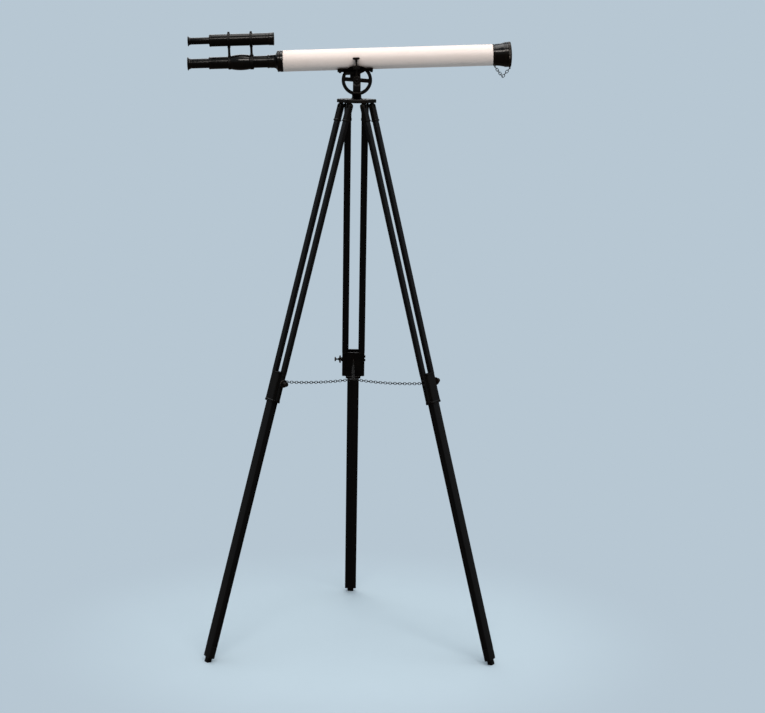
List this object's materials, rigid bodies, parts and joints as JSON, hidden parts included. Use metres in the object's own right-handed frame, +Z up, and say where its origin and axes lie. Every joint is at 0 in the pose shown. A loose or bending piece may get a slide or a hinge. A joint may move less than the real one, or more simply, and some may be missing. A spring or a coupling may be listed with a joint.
{
  "type": "tripod telescope",
  "caption": "Leather-wrapped refracting telescope with sliding draw tubes and a finder, on a wheeled altitude fork over a folding wooden tripod.",
  "frame": {"origin": "on the floor, under the middle of the overall box; the tripod's vertical axis, which is also the azimuth axis, stands at x 0.01906 m, y -0.10252 m", "axes": "+Z up; +X towards the objective end of the tube at rest; +Y away from the viewer, along the back leg"},
  "size_m": [0.8394, 0.6652, 1.6266],
  "materials": {
    "bronzed_brass": "oil-rubbed dark bronze, satin",
    "bronzed_tube": "oil-rubbed dark bronze, smooth drawn tube",
    "white_leather": "white stitched leather, fine grain",
    "stained_wood": "black-stained hardwood, satin lacquer",
    "glass": "polished optical glass",
    "chain": "dark bronzed wire links",
    "fasteners": "dark bronzed turned screws"
  },
  "bodies": {
    "tripod_head": {"tripod_crown": "bronzed_brass", "crown_hinge_pins": "fasteners", "spreader_ring": "chain"},
    "azimuth_fork": {"altitude_yoke": "bronzed_brass", "azimuth_spindle": "fasteners", "spindle_nut_and_washer": "fasteners"},
    "telescope": {"altitude_axle": "bronzed_brass", "altitude_wheel": "bronzed_brass", "saddle": "bronzed_brass", "saddle_fasteners": "fasteners", "main_tube": "bronzed_tube", "leather_wrap": "white_leather", "tail_flange": "bronzed_brass", "objective_cell": "bronzed_brass", "objective_crown_lens": "glass", "objective_flint_lens": "glass", "objective_retaining_ring": "bronzed_brass"},
    "altitude_clamp": {"altitude_thumb_screw": "bronzed_brass"},
    "main_draw": {"main_draw_tube": "bronzed_tube", "draw_sleeve": "bronzed_tube", "erector_lens": "glass", "finder_brackets": "bronzed_brass", "finder_clamp_screws": "bronzed_brass", "finder_tube": "bronzed_tube", "finder_objective_ring": "bronzed_brass", "finder_objective_lens": "glass"},
    "eyepiece_draw": {"eyepiece_draw_tube": "bronzed_tube", "eyecup": "bronzed_brass", "eye_lens": "glass", "field_lens": "glass"},
    "finder_draw": {"finder_draw_tube": "bronzed_tube", "finder_eyecup": "bronzed_brass", "finder_eye_lens": "glass"},
    "cap": {"dust_cap": "bronzed_brass"},
    "cap_chain_a": {"cap_chain_hood_half": "chain"},
    "cap_chain_b": {"cap_chain_cap_half": "chain"},
    "leg_back": {"leg_rods_back": "stained_wood", "leg_ferrules_back": "bronzed_brass", "leg_bracket_back": "bronzed_brass"},
    "lower_leg_back": {"lower_leg_back": "stained_wood", "foot_tip_back": "bronzed_brass"},
    "leg_clamp_back": {"leg_clamp_screw_back": "bronzed_brass"},
    "chain_outer_back": {"spreader_chain_outer_back": "chain"},
    "chain_inner_back": {"spreader_chain_inner_back": "chain"},
    "leg_left": {"leg_rods_left": "stained_wood", "leg_ferrules_left": "bronzed_brass", "leg_bracket_left": "bronzed_brass"},
    "lower_leg_left": {"lower_leg_left": "stained_wood", "foot_tip_left": "bronzed_brass"},
    "leg_clamp_left": {"leg_clamp_screw_left": "bronzed_brass"},
    "chain_outer_left": {"spreader_chain_outer_left": "chain"},
    "chain_inner_left": {"spreader_chain_inner_left": "chain"},
    "leg_right": {"leg_rods_right": "stained_wood", "leg_ferrules_right": "bronzed_brass", "leg_bracket_right": "bronzed_brass"},
    "lower_leg_right": {"lower_leg_right": "stained_wood", "foot_tip_right": "bronzed_brass"},
    "leg_clamp_right": {"leg_clamp_screw_right": "bronzed_brass"},
    "chain_outer_right": {"spreader_chain_outer_right": "chain"},
    "chain_inner_right": {"spreader_chain_inner_right": "chain"}
  },
  "joints": [
    {"name": "azimuth_turn", "type": "hinge", "parent": "tripod_head", "child": "azimuth_fork", "pos_m": [0.01908, -0.10252, 1.4577], "axis": [0, 0, 1], "continuous": true},
    {"name": "altitude_tilt", "type": "hinge", "parent": "azimuth_fork", "child": "telescope", "pos_m": [0.01908, -0.10252, 1.5056], "axis": [0, -1, 0], "range_deg": [-35, 60]},
    {"name": "altitude_clamp_turn", "type": "hinge", "parent": "telescope", "child": "altitude_clamp", "pos_m": [0.01777, -0.13952, 1.53557], "axis": [-0.0436, 0, 0.999], "range_deg": [0, 270]},
    {"name": "main_draw_slide", "type": "slide", "parent": "telescope", "child": "main_draw", "axis": [0.999, 0, 0.0436], "range_m": [0, 0.035]},
    {"name": "eyepiece_draw_slide", "type": "slide", "parent": "main_draw", "child": "eyepiece_draw", "axis": [0.999, 0, 0.0436], "range_m": [0, 0.045]},
    {"name": "finder_draw_slide", "type": "slide", "parent": "main_draw", "child": "finder_draw", "axis": [0.999, 0, 0.0436], "range_m": [0, 0.046]},
    {"name": "cap_slide", "type": "slide", "parent": "telescope", "child": "cap", "axis": [0.999, 0, 0.0436], "range_m": [0, 0.022]},
    {"name": "cap_chain_hood_swing", "type": "hinge", "parent": "telescope", "child": "cap_chain_a", "pos_m": [0.37629, -0.10252, 1.54522], "axis": [0, 1, 0], "range_deg": [-39.84, 0], "deforming": ["cap_chain_hood_half"]},
    {"name": "cap_chain_cap_swing", "type": "hinge", "parent": "cap", "child": "cap_chain_b", "pos_m": [0.41507, -0.10252, 1.54191], "axis": [0, 1, 0], "range_deg": [0, 42.54], "deforming": ["cap_chain_cap_half"]},
    {"name": "leg_fold_back", "type": "hinge", "parent": "tripod_head", "child": "leg_back", "pos_m": [0.01908, -0.06892, 1.44], "axis": [-1, 0, 0], "range_deg": [0, 15.33]},
    {"name": "lower_leg_slide_back", "type": "slide", "parent": "leg_back", "child": "lower_leg_back", "axis": [0, -0.2644, 0.9644], "range_m": [0, 0.66]},
    {"name": "leg_clamp_turn_back", "type": "hinge", "parent": "leg_back", "child": "leg_clamp_back", "pos_m": [-0.01092, 0.12593, 0.72922], "axis": [-1, 0, 0], "range_deg": [0, 270]},
    {"name": "chain_outer_swing_back", "type": "hinge", "parent": "leg_back", "child": "chain_outer_back", "pos_m": [0.01908, 0.11045, 0.72705], "axis": [-1, 0, 0], "range_deg": [-103.92, 0], "deforming": ["spreader_chain_outer_back"]},
    {"name": "chain_inner_swing_back", "type": "hinge", "parent": "tripod_head", "child": "chain_inner_back", "pos_m": [0.01908, -0.09452, 0.7155], "axis": [-1, 0, 0], "range_deg": [0, 85.52], "deforming": ["spreader_chain_inner_back"]},
    {"name": "leg_fold_left", "type": "hinge", "parent": "tripod_head", "child": "leg_left", "pos_m": [-0.01002, -0.11932, 1.44], "axis": [0.5, -0.866, 0], "range_deg": [0, 15.33]},
    {"name": "lower_leg_slide_left", "type": "slide", "parent": "leg_left", "child": "lower_leg_left", "axis": [0.229, 0.1322, 0.9644], "range_m": [0, 0.66]},
    {"name": "leg_clamp_turn_left", "type": "hinge", "parent": "leg_left", "child": "leg_clamp_left", "pos_m": [-0.16376, -0.24272, 0.72922], "axis": [0.5, -0.866, 0], "range_deg": [0, 270]},
    {"name": "chain_outer_swing_left", "type": "hinge", "parent": "leg_left", "child": "chain_outer_left", "pos_m": [-0.16536, -0.209, 0.72705], "axis": [0.5, -0.866, 0], "range_deg": [-103.92, 0], "deforming": ["spreader_chain_outer_left"]},
    {"name": "chain_inner_swing_left", "type": "hinge", "parent": "tripod_head", "child": "chain_inner_left", "pos_m": [0.01215, -0.10652, 0.7155], "axis": [0.5, -0.866, 0], "range_deg": [0, 85.52], "deforming": ["spreader_chain_inner_left"]},
    {"name": "leg_fold_right", "type": "hinge", "parent": "tripod_head", "child": "leg_right", "pos_m": [0.04818, -0.11932, 1.44], "axis": [0.5, 0.866, 0], "range_deg": [0, 15.33]},
    {"name": "lower_leg_slide_right", "type": "slide", "parent": "leg_right", "child": "lower_leg_right", "axis": [-0.229, 0.1322, 0.9644], "range_m": [0, 0.66]},
    {"name": "leg_clamp_turn_right", "type": "hinge", "parent": "leg_right", "child": "leg_clamp_right", "pos_m": [0.23192, -0.19076, 0.72922], "axis": [0.5, 0.866, 0], "range_deg": [0, 270]},
    {"name": "chain_outer_swing_right", "type": "hinge", "parent": "leg_right", "child": "chain_outer_right", "pos_m": [0.20352, -0.209, 0.72705], "axis": [0.5, 0.866, 0], "range_deg": [-103.92, 0], "deforming": ["spreader_chain_outer_right"]},
    {"name": "chain_inner_swing_right", "type": "hinge", "parent": "tripod_head", "child": "chain_inner_right", "pos_m": [0.02601, -0.10652, 0.7155], "axis": [0.5, 0.866, 0], "range_deg": [0, 85.52], "deforming": ["spreader_chain_inner_right"]}
  ],
  "couplings": [
    {"joint": "cap_chain_hood_swing", "follows": "cap_slide", "rad_per_m": -30.99},
    {"joint": "cap_chain_cap_swing", "follows": "cap_slide", "rad_per_m": 33.084},
    {"joint": "chain_outer_swing_back", "follows": "leg_fold_back", "ratio": -6.6461},
    {"joint": "chain_inner_swing_back", "follows": "leg_fold_back", "ratio": 5.4691},
    {"joint": "chain_outer_swing_left", "follows": "leg_fold_left", "ratio": -6.6461},
    {"joint": "chain_inner_swing_left", "follows": "leg_fold_left", "ratio": 5.4691},
    {"joint": "chain_outer_swing_right", "follows": "leg_fold_right", "ratio": -6.6461},
    {"joint": "chain_inner_swing_right", "follows": "leg_fold_right", "ratio": 5.4691}
  ]
}
